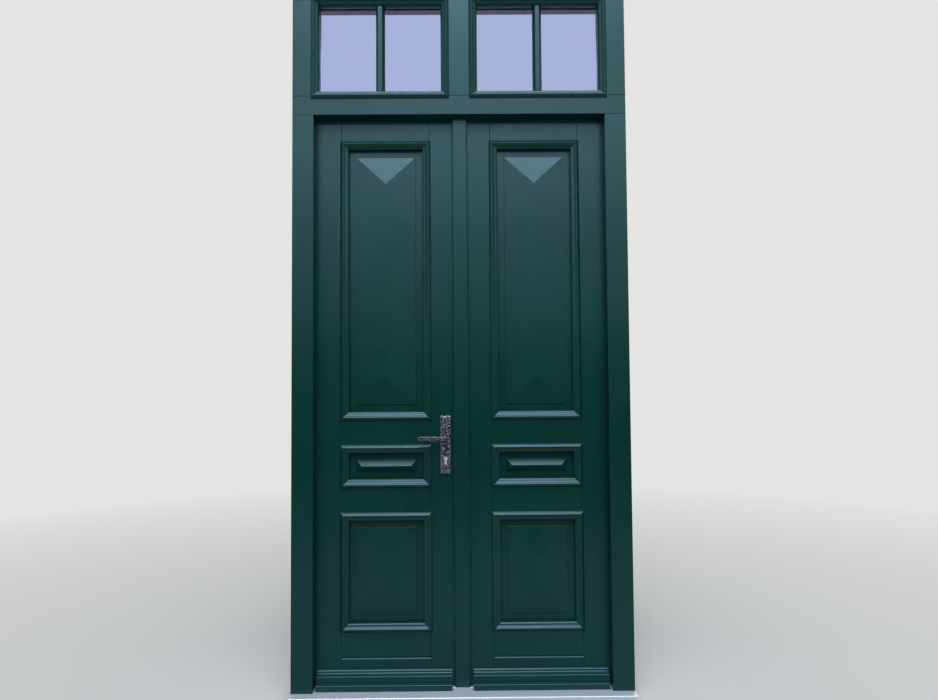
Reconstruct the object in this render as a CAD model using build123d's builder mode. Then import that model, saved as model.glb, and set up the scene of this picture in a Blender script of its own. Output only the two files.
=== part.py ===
from build123d import *
import math
import os

os.makedirs("parts", exist_ok=True)

# All sizes are in millimetres. X runs along the wall, Y into the house and Z up.
# The origin lies under the threshold, mid-width, in the plane of the frame's outer face.

# Frame
frame_width = 1400
frame_height = 2989
frame_depth = 130
jamb_width = 89
head_width = 89
mullion_width = 108
transom_height = 80
light_height = 412
rebate_width = 15
stop_gap = 4
arris = 1.2
fixing_radius = 5
fixing_end = 150
fixing_head_drop = 108
fixing_pitch = 600

# Threshold, a hollow extrusion with a rounded nose and a low rib
threshold_height = 25
threshold_nose = 42
nose_drop = 2
nose_radius = 4
threshold_wall = 3
rib_setback = 8
rib_width = 10
rib_height = 2.5

# Leaves
leaf_thickness = 68
leaf_side_gap = 3
leaf_top_gap = 3
leaf_foot_gap = 6
swing_clearance = 1.75
hinge_stile_width = 119
meeting_stile_reach = 129.5
bottom_rail_height = 222
lock_rail_height = 112
lock_rail_drop = 30
middle_panel_height = 170
top_rail_height = 110
tenon_thickness = 22
tenon_length = 25
tenon_shoulder = 20
tenon_play = 0.2

# Diamond-point panels
panel_play = 1.5
panel_recess = 24
panel_margin_thickness = 20
field_margin = 34
field_step = 5
point_rise = 19
hip_ratio = 0.936
back_field_margin = 34
back_field_step = 8
back_field_bevel = 6

# Stopped groove above the weatherboard
groove_rise = 111
groove_width = 9
groove_depth = 4.5

# Bolection mouldings, as offsets from the outer edge and heights above the leaf's face.
# Each curve is drawn as a few short flats, which keeps the 32 lengths light.
curve_flats = 4
moulding_width = 35
moulding_lap = 8
moulding_play = 0.3
edge_height = 2.5
ovolo_start = (1.5, 4)
ovolo_middle = (5.4, 9.9)
crest = (12.5, 12.5)
shoulder = (15.4, 11.2)
cove_start = (17.8, 8)
cove_middle = (22, 5)
cove_end = (28, 4)
bead_middle = (32.4, 2.4)
bead_end = (moulding_width, -1.5)

# Inside beads
inside_bead_width = 20
inside_bead_bevel = 9

# Weatherboards; depths are taken from the leaf's face and drops from the board's top
weatherboard_joint_gap = 11
weatherboard_side_gap = 9
weatherboard_foot = 29
weatherboard_top = 100
roll_depth = 13
roll_drop = 7
roll_bulge = 1.6
ledge_depths = (16.5, 34, 50)
ledge_drops = (12, 18.5, 49)
ledge_slope = 1
ledge_round = 2
drip_lip = 6
drip_rise = 6

# Astragals over the meeting gap
astragal_width = 64
astragal_thickness = 22
astragal_round = 6
astragal_relief = 1.5
astragal_foot = 30
astragal_head_gap = 2
inside_astragal_width = 50
inside_astragal_thickness = 16
inside_astragal_foot = 40
inside_astragal_drop = 8
inside_astragal_round = 5

# Lift-off hinges
hinge_foot_rise = 269
hinge_head_drop = 240
knuckle_radius = 8
knuckle_length = 50
knuckle_gap = 1
knuckle_standoff = 1
hinge_pin_radius = 5
pin_clearance = 0.05
pin_reach = 44
hinge_plate_thickness = 3
hinge_plate_depth = 36
hinge_plate_length = 120

# Lock, cylinder and handles
backset = 60
handle_height = 1048
cylinder_drop = 85
forend_thickness = 3
forend_width = 22
forend_length = 240
forend_rise = 67
case_thickness = 16
case_wall = 1.5
case_depth = 90
case_top = 57
case_foot = 118
pocket_play = 0.5
mortise_play = 1
follower_radius = 11
spindle_side = 8
spindle_play = 0.05
running_clearance = 0.08
latch_rise = 25
latch_height = 18
latch_width = 12
latch_show = 4.5
latch_bevel = 8.4
latch_length = 38
latch_tail_length = 34
latch_tail_height = 7
dead_bolt_drop = 58
dead_bolt_height = 34
dead_bolt_width = 12
dead_bolt_length = 43
dead_bolt_arris = 0.8
bolt_clearance = 0.2
keep_depth = 18
keep_play = 1.5
strike_thickness = 2.5
cylinder_radius = 8.5
cylinder_height = 33
lobe_width = 10
cylinder_stand = 3
plug_radius = 6.5
cam_radius = 15
cam_width = 10
cam_play = 0.4
cam_tongue = 6
bridge_drop = 17
key_slot_width = 1.6
key_slot_height = 8
key_slot_depth = 14

# Handle plates and levers
plate_width = 46
plate_length = 242
plate_thickness = 8
plate_drop = 26.5
plate_bevel = 3
neck_radius = 9
lever_clearance = 33
lever_thickness = 13
lever_root_radius = 9
lever_tip_radius = 11.8
lever_reach = 105
lever_bevel = 3.5
socket_depth = 24
spindle_end_gap = 6

# Flush bolts of the passive leaf
flush_bolt_radius = 6
flush_bolt_inset = 14
flush_bolt_throw = 14
flush_bolt_travel = 18
flush_bolt_length = 200
flush_plate_length = 180
flush_plate_width = 20
flush_plate_thickness = 2.5
flush_plate_offset = 60
thumb_height = 12
thumb_width = 8
thumb_recess = 0.6
slot_end_gap = 1
keep_plate_length = 60
keep_plate_thickness = 3
foot_keep_thickness = 1.5

# Transom lights
light_lap = 12
glass_setback = 26
sheet_thickness = 6
glass_cavity = 16
glass_edge_gap = 5
spacer_width = 10
bar_spacer_width = 20
bar_width = 36
bar_face_width = 20
bar_depth = 20
bar_step = 8
bar_arris = 1.5
light_bead_width = 20
light_bead_depth = 20
light_bead_bevel = 9

# Weather seal in the frame's rebate
seal_width = 8
seal_clearance = 0.3
seal_inset = 2

# Positions that follow from the sizes above
half_frame = frame_width / 2
clear_half = half_frame - jamb_width
rebate_half = clear_half + rebate_width
head_foot = frame_height - head_width
transom_head = head_foot - light_height
transom_foot = transom_head - transom_height
leaf_face = frame_depth - leaf_thickness
leaf_back = frame_depth
leaf_middle = (leaf_face + leaf_back) / 2
stop_depth = leaf_face - stop_gap
hinge_edge = rebate_half - leaf_side_gap
leaf_foot = threshold_height + leaf_foot_gap
leaf_head = transom_foot + rebate_width - leaf_top_gap
panel_far = hinge_edge - hinge_stile_width
panel_near = meeting_stile_reach
panel_face = leaf_face + panel_recess
panel_back = panel_face + panel_margin_thickness
axis_x = rebate_half - leaf_side_gap / 2
axis_y = leaf_back + knuckle_radius + knuckle_standoff

# The meeting gap lets the active leaf's outer corner swing past the passive leaf.
corner_reach = math.hypot(axis_x, axis_y - leaf_face)
meeting_gap = corner_reach - axis_x + swing_clearance

# The lock rails keep their place below the handle; the outer panels take up the rest.
middle_head = handle_height - lock_rail_drop
middle_foot = middle_head - middle_panel_height
openings = {
    "lower": (leaf_foot + bottom_rail_height, middle_foot - lock_rail_height),
    "middle": (middle_foot, middle_head),
    "upper": (middle_head + lock_rail_height, leaf_head - top_rail_height),
}
rails = {
    "bottom_rail": (leaf_foot, openings["lower"][0]),
    "lower_lock_rail": (openings["lower"][1], openings["middle"][0]),
    "upper_lock_rail": (openings["middle"][1], openings["upper"][0]),
    "top_rail": (openings["upper"][1], leaf_head),
}
hinge_low = leaf_foot + hinge_foot_rise
hinge_high = leaf_head - hinge_head_drop
hinge_heights = (hinge_low, (hinge_low + hinge_high) / 2, hinge_high)
fixing_low = threshold_height + fixing_end
fixing_high = transom_foot - fixing_head_drop
fixing_heights = (fixing_low, fixing_low + fixing_pitch, fixing_high - fixing_pitch, fixing_high)

lock_edge = -meeting_gap
handle_x = lock_edge - backset
cylinder_z = handle_height - cylinder_drop
latch_z = handle_height + latch_rise
dead_bolt_z = handle_height - dead_bolt_drop
plate_z = handle_height - plate_drop
forend_z = (handle_height + forend_rise - forend_length, handle_height + forend_rise)
case_x = (lock_edge - forend_thickness - case_depth, lock_edge - forend_thickness)
case_y = (leaf_middle - case_thickness / 2, leaf_middle + case_thickness / 2)
case_z = (handle_height - case_foot, handle_height + case_top)
follower_z = (handle_height - follower_radius, handle_height + follower_radius)
cylinder_foot = cylinder_z + cylinder_radius - cylinder_height - bolt_clearance
cylinder_hole_x = (handle_x - cylinder_radius - bolt_clearance, handle_x + cylinder_radius + bolt_clearance)
cylinder_hole_z = (cylinder_foot, cylinder_z + cylinder_radius + bolt_clearance)
bolt_bore = flush_bolt_radius + running_clearance
outside_plate_y = (leaf_face - plate_thickness, leaf_face)
inside_plate_y = (leaf_back, leaf_back + plate_thickness)


def save(shape, name):
    """Names a finished piece and writes it as its own file."""
    shape.label = name
    export_step(shape, f"parts/{name}.step")


def span(low, high):
    """Two ends in rising order, so that a mirrored piece can use the same values."""
    return (min(low, high), max(low, high))


def around(middle, width):
    """The two ends of a width laid evenly about its middle."""
    return (middle - width / 2, middle + width / 2)


def block(x, y, z, mode=Mode.ADD):
    """Adds a straight block to the piece in hand, or cuts it away."""
    with BuildSketch(Plane.XY.offset(z[0]), mode=Mode.PRIVATE) as foot:
        with Locations((sum(x) / 2, sum(y) / 2)):
            Rectangle(x[1] - x[0], y[1] - y[0])
    extrude(foot.sketch, amount=z[1] - z[0], mode=mode)


def upright_pin(x, y, z, radius, mode=Mode.ADD):
    """Adds a round bar along Z, or cuts its hole."""
    with BuildSketch(Plane.XY.offset(z[0]), mode=Mode.PRIVATE) as foot:
        with Locations((x, y)):
            Circle(radius)
    extrude(foot.sketch, amount=z[1] - z[0], mode=mode)


def through_pin(x, y, z, radius, mode=Mode.ADD):
    """Adds a round bar along Y, or cuts its hole."""
    with BuildSketch(Plane.XZ.offset(-y[1]), mode=Mode.PRIVATE) as end:
        with Locations((x, z)):
            Circle(radius)
    extrude(end.sketch, amount=y[1] - y[0], mode=mode)


def cross_pin(x, y, z, radius, mode=Mode.ADD):
    """Adds a round bar along X, or cuts its hole."""
    with BuildSketch(Plane.YZ.offset(x[0]), mode=Mode.PRIVATE) as end:
        with Locations((y, z)):
            Circle(radius)
    extrude(end.sketch, amount=x[1] - x[0], mode=mode)


def ease_face(piece, order, size):
    """Takes the sharp arris off the face that comes first or last along Y."""
    chamfer(piece.faces().sort_by(Axis.Y)[order].edges(), size)


def hinge_recess(side, height, edge, depth):
    """Cuts the seat of a hinge plate out of a jamb or a stile."""
    x = span(side * edge, side * (edge + depth))
    block(x, (leaf_back - hinge_plate_depth, leaf_back), around(height, hinge_plate_length), Mode.SUBTRACT)


# Frame members; each leaf closes into the rebate behind its jamb's stop
for name, side in (("jamb_left", -1), ("jamb_right", 1)):
    with BuildPart() as jamb:
        jamb_z = (threshold_height, transom_foot)
        block(span(side * clear_half, side * half_frame), (0, stop_depth), jamb_z)
        block(span(side * rebate_half, side * half_frame), (stop_depth, frame_depth), jamb_z)
        ease_face(jamb, 0, arris)
        for height in fixing_heights:
            wall_x = span(side * rebate_half, side * half_frame)
            cross_pin(wall_x, leaf_middle, height, fixing_radius, Mode.SUBTRACT)
        for height in hinge_heights:
            hinge_recess(side, height, rebate_half, hinge_plate_thickness)
    save(jamb.part, name)

rebate_head = transom_foot + rebate_width
keep_seat = (rebate_head, rebate_head + keep_plate_thickness)
keep_bore = (keep_seat[1], keep_seat[1] + flush_bolt_throw)
with BuildPart() as transom_rail:
    block((-half_frame, half_frame), (0, frame_depth), (transom_foot, transom_head))
    ease_face(transom_rail, 0, arris)
    block((-rebate_half, rebate_half), (stop_depth, frame_depth), (transom_foot, rebate_head), Mode.SUBTRACT)
    keep_x = around(flush_bolt_inset, keep_plate_length)
    block(keep_x, around(leaf_middle, flush_plate_width), keep_seat, Mode.SUBTRACT)
    upright_pin(flush_bolt_inset, leaf_middle, keep_bore, flush_bolt_radius + keep_play, Mode.SUBTRACT)
save(transom_rail.part, "transom_rail")

for name, side in (("upper_jamb_left", -1), ("upper_jamb_right", 1)):
    with BuildPart() as upper_jamb:
        block(span(side * clear_half, side * half_frame), (0, frame_depth), (transom_head, head_foot))
        ease_face(upper_jamb, 0, arris)
    save(upper_jamb.part, name)

with BuildPart() as mullion:
    block(around(0, mullion_width), (0, frame_depth), (transom_head, head_foot))
    ease_face(mullion, 0, arris)
save(mullion.part, "mullion")

with BuildPart() as head_rail:
    block((-half_frame, half_frame), (0, frame_depth), (head_foot, frame_height))
    ease_face(head_rail, 0, arris)
save(head_rail.part, "head_rail")

with BuildPart() as threshold:
    with BuildSketch(Plane.YZ.offset(-half_frame)) as threshold_section:
        with BuildLine():
            Polyline(
                (-threshold_nose, 0),
                (frame_depth, 0),
                (frame_depth, threshold_height),
                (0, threshold_height),
                (-threshold_nose, threshold_height - nose_drop),
                close=True,
            )
        make_face()
        nose_corner = threshold_section.vertices().group_by(Axis.X)[0].sort_by(Axis.Y)[-1]
        fillet(nose_corner, nose_radius)
        for chamber in ((-threshold_nose, 0), (0, leaf_face), (leaf_face, frame_depth)):
            chamber_width = chamber[1] - chamber[0] - 2 * threshold_wall
            chamber_height = threshold_height - nose_drop - 2 * threshold_wall
            with Locations((sum(chamber) / 2, threshold_wall + chamber_height / 2)):
                Rectangle(chamber_width, chamber_height, mode=Mode.SUBTRACT)
    extrude(amount=frame_width)
    rib_y = (leaf_face - rib_setback - rib_width, leaf_face - rib_setback)
    block((-clear_half, clear_half), rib_y, (threshold_height, threshold_height + rib_height))
    fillet(threshold.edges().filter_by(Axis.X).group_by(Axis.Z)[-1], rib_height / 2)
    bolt_hole_z = (threshold_height - nose_drop - threshold_wall, threshold_height)
    upright_pin(flush_bolt_inset, leaf_middle, bolt_hole_z, bolt_bore, Mode.SUBTRACT)
save(threshold.part, "threshold")


def add_stile(piece, side, outer, inner):
    """Adds a stile with a stub mortise for each rail; outer is its free edge."""
    block(span(side * outer, side * inner), (leaf_face, leaf_back), (leaf_foot, leaf_head))
    ease_face(piece, 0, arris)
    ease_face(piece, -1, arris)
    inward = 1 if outer < inner else -1
    mortise_x = span(side * inner, side * (inner - inward * (tenon_length + tenon_play)))
    mortise_y = around(leaf_middle, tenon_thickness + 2 * tenon_play)
    for foot, head in rails.values():
        mortise_z = (foot + tenon_shoulder - tenon_play, head - tenon_shoulder + tenon_play)
        block(mortise_x, mortise_y, mortise_z, Mode.SUBTRACT)


def diamond_point(x, z, base, rise):
    """A hipped point on the upright plane at base; a negative rise gives a cutter for a stopped groove."""
    wide = x[1] - x[0]
    tall = z[1] - z[0]
    facing = math.copysign(1, rise)
    inset = hip_ratio * min(wide, tall) / 2
    with BuildPart() as point:
        if tall > wide:
            with BuildSketch(Plane.XY.offset(z[0])):
                with BuildLine():
                    Polyline((x[0], base), (sum(x) / 2, base - rise), (x[1], base), close=True)
                make_face()
            extrude(amount=tall)
            ends = (((x[0], base, z[0]), (0, inset, rise)), ((x[0], base, z[1]), (0, inset, -rise)))
        else:
            with BuildSketch(Plane.YZ.offset(x[0])):
                with BuildLine():
                    Polyline((base, z[0]), (base - rise, sum(z) / 2), (base, z[1]), close=True)
                make_face()
            extrude(amount=wide)
            ends = (((x[0], base, z[0]), (rise, inset, 0)), ((x[1], base, z[0]), (-rise, inset, 0)))
        for corner, normal in ends:
            split(bisect_by=Plane(corner, z_dir=Vector(*normal) * facing), keep=Keep.TOP)
    return point.part


def curve(start, middle, end):
    """Draws the curve through three points as short flats."""
    arc = ThreePointArc(start, middle, end, mode=Mode.PRIVATE)
    Polyline([arc @ (step / curve_flats) for step in range(curve_flats + 1)])


def bolection_section(lap, depth):
    """A moulding that laps over the wood around it and bears on the panel or glass, front face up."""
    with BuildSketch() as section:
        with BuildLine():
            Polyline((0, 0), (0, edge_height), ovolo_start)
            curve(ovolo_start, ovolo_middle, crest)
            curve(crest, shoulder, cove_start)
            curve(cove_start, cove_middle, cove_end)
            curve(cove_end, bead_middle, bead_end)
            inner = lap + moulding_play
            Polyline(bead_end, (moulding_width, -depth), (inner, -depth), (inner, 0), (0, 0))
        make_face()
    return section.sketch


def bead_section(width, depth, bevel):
    """A plain bead's section, bevelled on its free corner."""
    with BuildSketch() as section:
        Rectangle(width - moulding_play, depth, align=(Align.MIN, Align.MAX))
        chamfer(section.vertices().sort_by(Axis.X)[-2:].sort_by(Axis.Y)[-1], bevel)
    return section.sketch


def mitred_length(start, end, inward, section):
    """One length of a moulding, cut at 45 degrees at both ends."""
    along = (end - start).normalized()
    with BuildPart() as length:
        with BuildSketch(Plane(start, x_dir=inward, z_dir=along)):
            add(section)
        extrude(amount=(end - start).length)
        split(bisect_by=Plane(start, z_dir=along - inward), keep=Keep.TOP)
        split(bisect_by=Plane(end, z_dir=-along - inward), keep=Keep.TOP)
    return length.part


def moulding_ring(x, z, y, facing, section):
    """Four mitred lengths around the rectangle that their outer edges make."""
    middle = Vector(sum(x) / 2, y, sum(z) / 2)
    half_wide = (x[1] - x[0]) / 2
    half_tall = (z[1] - z[0]) / 2
    lengths = []
    for inward in (Vector(0, 0, 1), Vector(-1, 0, 0), Vector(0, 0, -1), Vector(1, 0, 0)):
        along = inward.cross(facing)
        away = abs(inward.X) * half_wide + abs(inward.Z) * half_tall
        reach = abs(along.X) * half_wide + abs(along.Z) * half_tall
        start = middle - inward * away - along * reach
        lengths.append(mitred_length(start, start + along * (2 * reach), inward, section))
    return lengths


def grown(ends, margin):
    """The two ends of a width moved apart by a margin each, or together by a negative one."""
    return (ends[0] - margin, ends[1] + margin)


outside = Vector(0, -1, 0)
inside = Vector(0, 1, 0)
leaf_bolection = bolection_section(moulding_lap, panel_recess)
light_bolection = bolection_section(light_lap, glass_setback)
leaf_bead = bead_section(inside_bead_width, leaf_back - panel_back, inside_bead_bevel)
light_bead = bead_section(light_bead_width, light_bead_depth, light_bead_bevel)

# Joinery that both leaves share, made once for each hand
for leaf, side in (("active", -1), ("passive", 1)):
    opening_x = span(side * panel_near, side * panel_far)
    mouldings = []
    beads = []
    for name, rail_z in rails.items():
        with BuildPart() as rail:
            block(opening_x, (leaf_face, leaf_back), rail_z)
            ease_face(rail, 0, arris)
            ease_face(rail, -1, arris)
            tenon_z = grown(rail_z, -tenon_shoulder)
            block(grown(opening_x, tenon_length), around(leaf_middle, tenon_thickness), tenon_z)
            if name == "bottom_rail":
                groove_z = around(leaf_foot + groove_rise, groove_width)
                add(diamond_point(opening_x, groove_z, leaf_face, -groove_depth), mode=Mode.SUBTRACT)
        save(rail.part, f"{leaf}_{name}")
    for name, opening_z in openings.items():
        field_inset = moulding_width - moulding_lap + field_margin
        field_x = grown(opening_x, -field_inset)
        field_z = grown(opening_z, -field_inset)
        field_face = panel_face - field_step
        back_inset = inside_bead_width + back_field_margin
        with BuildPart() as panel:
            back_y = (panel_back, panel_back + back_field_step)
            block(grown(opening_x, -back_inset), back_y, grown(opening_z, -back_inset))
            chamfer(panel.faces().sort_by(Axis.Y)[-1].edges(), back_field_bevel)
            block(grown(opening_x, -panel_play), (panel_face, panel_back), grown(opening_z, -panel_play))
            block(field_x, (field_face, panel_face), field_z)
            add(diamond_point(field_x, field_z, field_face, point_rise))
        save(panel.part, f"{leaf}_{name}_panel")
        ring_x = grown(opening_x, moulding_lap)
        ring_z = grown(opening_z, moulding_lap)
        mouldings += moulding_ring(ring_x, ring_z, leaf_face, outside, leaf_bolection)
        bead_x = grown(opening_x, -moulding_play)
        bead_z = grown(opening_z, -moulding_play)
        beads += moulding_ring(bead_x, bead_z, leaf_back, inside, leaf_bead)
    save(Compound(children=mouldings), f"{leaf}_mouldings")
    save(Compound(children=beads), f"{leaf}_beads")
    with BuildPart() as hinge_stile:
        add_stile(hinge_stile, side, hinge_edge, panel_far)
        for height in hinge_heights:
            hinge_recess(side, height, hinge_edge, -hinge_plate_thickness)
    save(hinge_stile.part, f"{leaf}_hinge_stile")
    board_near = astragal_width / 2 + weatherboard_joint_gap
    board_far = clear_half - weatherboard_side_gap
    roll = (leaf_face - roll_depth, weatherboard_top - roll_drop)
    with BuildPart() as weatherboard:
        with BuildSketch(Plane.YZ.offset(span(side * board_near, side * board_far)[0])):
            with BuildLine():
                roll_middle = ((leaf_face + roll[0]) / 2 - roll_bulge, weatherboard_top - roll_bulge)
                ThreePointArc((leaf_face, weatherboard_top), roll_middle, roll)
                steps = [roll, (roll[0], weatherboard_top - ledge_drops[0])]
                for depth, drop, foot in zip(ledge_depths, ledge_drops, ledge_drops[1:] + (None,)):
                    front = leaf_face - depth
                    ledge = weatherboard_top - drop - ledge_slope
                    steps += [(front + ledge_round, ledge), (front, ledge - ledge_round)]
                    steps.append((front, weatherboard_foot if foot is None else weatherboard_top - foot))
                lip = leaf_face - ledge_depths[-1] + drip_lip
                steps += [(lip, weatherboard_foot), (lip, weatherboard_foot + drip_rise)]
                steps += [(leaf_face, weatherboard_foot + drip_rise), (leaf_face, weatherboard_top)]
                Polyline(*steps)
            make_face()
        extrude(amount=board_far - board_near)
    save(weatherboard.part, f"{leaf}_weatherboard")


def euro_profile(grow):
    """The outline of a profile cylinder: a round head over a narrow lobe."""
    lobe_drop = cylinder_height - cylinder_radius - lobe_width / 2
    with BuildSketch(mode=Mode.PRIVATE) as profile:
        Circle(cylinder_radius + grow)
        with Locations((0, -lobe_drop / 2)):
            Rectangle(lobe_width + 2 * grow, lobe_drop)
        with Locations((0, -lobe_drop)):
            Circle(lobe_width / 2 + grow)
    return profile.sketch


def euro_bar(y, grow, mode=Mode.ADD):
    """Adds a length of profile cylinder along Y, or cuts its hole."""
    plane = Plane((handle_x, y[1], cylinder_z), x_dir=(1, 0, 0), z_dir=(0, -1, 0))
    extrude(plane * euro_profile(grow), amount=y[1] - y[0], mode=mode)


# Meeting stile of the active leaf, with the pocket for its lock
with BuildPart() as active_lock_stile:
    add_stile(active_lock_stile, -1, meeting_gap, panel_near)
    pocket_x = (case_x[0] - pocket_play, case_x[1])
    block(pocket_x, grown(case_y, pocket_play), grown(case_z, pocket_play), Mode.SUBTRACT)
    block((case_x[1], lock_edge), around(leaf_middle, forend_width), forend_z, Mode.SUBTRACT)
    for hole_z in (follower_z, cylinder_hole_z):
        block(grown(cylinder_hole_x, mortise_play), (leaf_face, leaf_back), hole_z, Mode.SUBTRACT)
save(active_lock_stile.part, "active_lock_stile")

# Lock case: a hollow steel box behind its forend
with BuildPart() as lock_case:
    block(case_x, case_y, case_z)
    inner_x = (case_x[0] + case_wall, case_x[1])
    block(inner_x, grown(case_y, -case_wall), grown(case_z, -case_wall), Mode.SUBTRACT)
    forend_x = (case_x[1], lock_edge)
    block(forend_x, around(leaf_middle, forend_width), forend_z)
    latch_hole_y = around(leaf_middle, latch_width + 2 * bolt_clearance)
    latch_hole_z = around(latch_z, latch_height + 2 * bolt_clearance)
    block(forend_x, latch_hole_y, latch_hole_z, Mode.SUBTRACT)
    dead_hole_y = around(leaf_middle, dead_bolt_width + 2 * bolt_clearance)
    dead_hole_z = around(dead_bolt_z, dead_bolt_height + 2 * bolt_clearance)
    block(forend_x, dead_hole_y, dead_hole_z, Mode.SUBTRACT)
    through_pin(handle_x, case_y, handle_height, follower_radius + running_clearance, Mode.SUBTRACT)
    block(cylinder_hole_x, case_y, cylinder_hole_z, Mode.SUBTRACT)
save(lock_case.part, "lock_case")

# Latch bolt: a bevelled head on a thin tail that passes over the follower
with BuildPart() as latch_bolt:
    latch_x = (lock_edge + latch_show - latch_length, lock_edge + latch_show)
    block(latch_x, around(leaf_middle, latch_width), around(latch_z, latch_height))
    nose = latch_bolt.edges().filter_by(Axis.Z).group_by(Axis.X)[-1].sort_by(Axis.Y)[0]
    chamfer(nose, latch_show, latch_bevel)
    tail_x = (latch_x[0] - latch_tail_length, latch_x[0])
    tail_head = latch_z + latch_height / 2
    block(tail_x, around(leaf_middle, latch_width / 2), (tail_head - latch_tail_height, tail_head))
save(latch_bolt.part, "latch_bolt")

with BuildPart() as dead_bolt:
    dead_bolt_x = (lock_edge - dead_bolt_length, lock_edge - bolt_clearance)
    block(dead_bolt_x, around(leaf_middle, dead_bolt_width), around(dead_bolt_z, dead_bolt_height))
    chamfer(dead_bolt.faces().sort_by(Axis.X)[-1].edges(), dead_bolt_arris)
save(dead_bolt.part, "dead_bolt")

# Profile cylinder: its body is cut away in the middle for the cam
cylinder_y = (outside_plate_y[0] - cylinder_stand, inside_plate_y[1] + cylinder_stand)
with BuildPart() as lock_cylinder:
    euro_bar(cylinder_y, 0)
    through_pin(handle_x, cylinder_y, cylinder_z, plug_radius + running_clearance, Mode.SUBTRACT)
    cam_z = (cylinder_z - bridge_drop, cylinder_z + cylinder_radius)
    cam_y = around(leaf_middle, cam_width + 2 * cam_play)
    block(around(handle_x, 2 * cylinder_radius), cam_y, cam_z, Mode.SUBTRACT)
save(lock_cylinder.part, "lock_cylinder")

# Cylinder plug with its cam, and a key slot at each end
with BuildPart() as cylinder_plug:
    through_pin(handle_x, cylinder_y, cylinder_z, plug_radius)
    block(around(handle_x, cam_tongue), around(leaf_middle, cam_width), (cylinder_z - cam_radius, cylinder_z))
    for slot_y in (
        (cylinder_y[0], cylinder_y[0] + key_slot_depth),
        (cylinder_y[1] - key_slot_depth, cylinder_y[1]),
    ):
        slot_z = around(cylinder_z, key_slot_height)
        block(around(handle_x, key_slot_width), slot_y, slot_z, Mode.SUBTRACT)
save(cylinder_plug.part, "cylinder_plug")

# Handle plates
for name, plate_y, face in (("outside_plate", outside_plate_y, 0), ("inside_plate", inside_plate_y, -1)):
    with BuildPart() as handle_plate:
        block(around(handle_x, plate_width), plate_y, around(plate_z, plate_length))
        ease_face(handle_plate, face, plate_bevel)
        through_pin(handle_x, plate_y, handle_height, neck_radius + running_clearance, Mode.SUBTRACT)
        euro_bar(plate_y, bolt_clearance, Mode.SUBTRACT)
    save(handle_plate.part, name)

# Tapered levers with bevelled edges; outward is the way each stands off its side of the leaf
for name, root, outward in (("outside_lever", leaf_face, -1), ("inside_lever", leaf_back, 1)):
    grip_root = root + outward * (plate_thickness + lever_clearance)
    grip_y = span(grip_root, grip_root + outward * lever_thickness)
    with BuildPart() as lever:
        with BuildSketch(Plane.XZ.offset(-grip_y[1])):
            with Locations((handle_x, handle_height)):
                Circle(lever_root_radius)
            with Locations((handle_x - lever_reach, handle_height)):
                Circle(lever_tip_radius)
            make_hull()
        extrude(amount=lever_thickness)
        chamfer(lever.faces().filter_by(Axis.Y).edges(), lever_bevel)
        neck_y = span(root, grip_root + outward * lever_bevel)
        through_pin(handle_x, neck_y, handle_height, neck_radius)
        socket_side = spindle_side + 2 * spindle_play
        socket_y = span(root, root + outward * socket_depth)
        block(around(handle_x, socket_side), socket_y, around(handle_height, socket_side), Mode.SUBTRACT)
    save(lever.part, name)

# Square spindle, and the follower that it turns in the lock case
with BuildPart() as spindle_bar:
    spindle_y = grown((leaf_face, leaf_back), socket_depth - spindle_end_gap)
    block(around(handle_x, spindle_side), spindle_y, around(handle_height, spindle_side))
with BuildPart() as follower:
    through_pin(handle_x, case_y, handle_height, follower_radius)
    follower_side = spindle_side + 2 * spindle_play
    block(around(handle_x, follower_side), case_y, around(handle_height, follower_side), Mode.SUBTRACT)
save(Compound(children=[spindle_bar.part, follower.part]), "spindle")

# Passive leaf: strike plate and flush bolts in its meeting edge
strike_holes = (
    around(latch_z, latch_height + 2 * keep_play),
    around(dead_bolt_z, dead_bolt_height + 2 * keep_play),
)
keep_y = around(leaf_middle, dead_bolt_width + 2 * keep_play)
bolt_y = around(leaf_middle, flush_plate_width)
slot_y = around(leaf_middle, thumb_width + 2 * bolt_clearance)
top_plate_z = (leaf_head - flush_plate_offset - flush_plate_length, leaf_head - flush_plate_offset)
foot_plate_z = (leaf_foot + flush_plate_offset, leaf_foot + flush_plate_offset + flush_plate_length)
top_bolt_z = (leaf_head - flush_bolt_length, leaf_head + leaf_top_gap + flush_bolt_throw)
foot_bolt_z = (leaf_foot + slot_end_gap - flush_bolt_travel, leaf_foot + flush_bolt_length)
top_thumb_z = (top_bolt_z[0], top_bolt_z[0] + thumb_height)
foot_thumb_z = (foot_bolt_z[1] - thumb_height, foot_bolt_z[1])
top_slot_z = (top_thumb_z[0] - flush_bolt_travel - slot_end_gap, top_thumb_z[1] + slot_end_gap)
foot_slot_z = (foot_thumb_z[0] - slot_end_gap, foot_thumb_z[1] + flush_bolt_travel + slot_end_gap)

with BuildPart() as passive_meeting_stile:
    add_stile(passive_meeting_stile, 1, 0, panel_near)
    block((0, strike_thickness), around(leaf_middle, forend_width), forend_z, Mode.SUBTRACT)
    for hole_z in strike_holes:
        block((strike_thickness, keep_depth), keep_y, hole_z, Mode.SUBTRACT)
    for plate_zone in (top_plate_z, foot_plate_z):
        block((0, flush_plate_thickness), bolt_y, plate_zone, Mode.SUBTRACT)
    for slot_z in (top_slot_z, foot_slot_z):
        block((flush_plate_thickness, flush_bolt_inset), slot_y, slot_z, Mode.SUBTRACT)
    upright_pin(flush_bolt_inset, leaf_middle, (top_slot_z[0], leaf_head), bolt_bore, Mode.SUBTRACT)
    upright_pin(flush_bolt_inset, leaf_middle, (leaf_foot, foot_slot_z[1]), bolt_bore, Mode.SUBTRACT)
save(passive_meeting_stile.part, "passive_meeting_stile")

with BuildPart() as strike_plate:
    block((0, strike_thickness), around(leaf_middle, forend_width), forend_z)
    for hole_z in strike_holes:
        block((0, strike_thickness), keep_y, hole_z, Mode.SUBTRACT)
save(strike_plate.part, "strike_plate")

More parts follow.
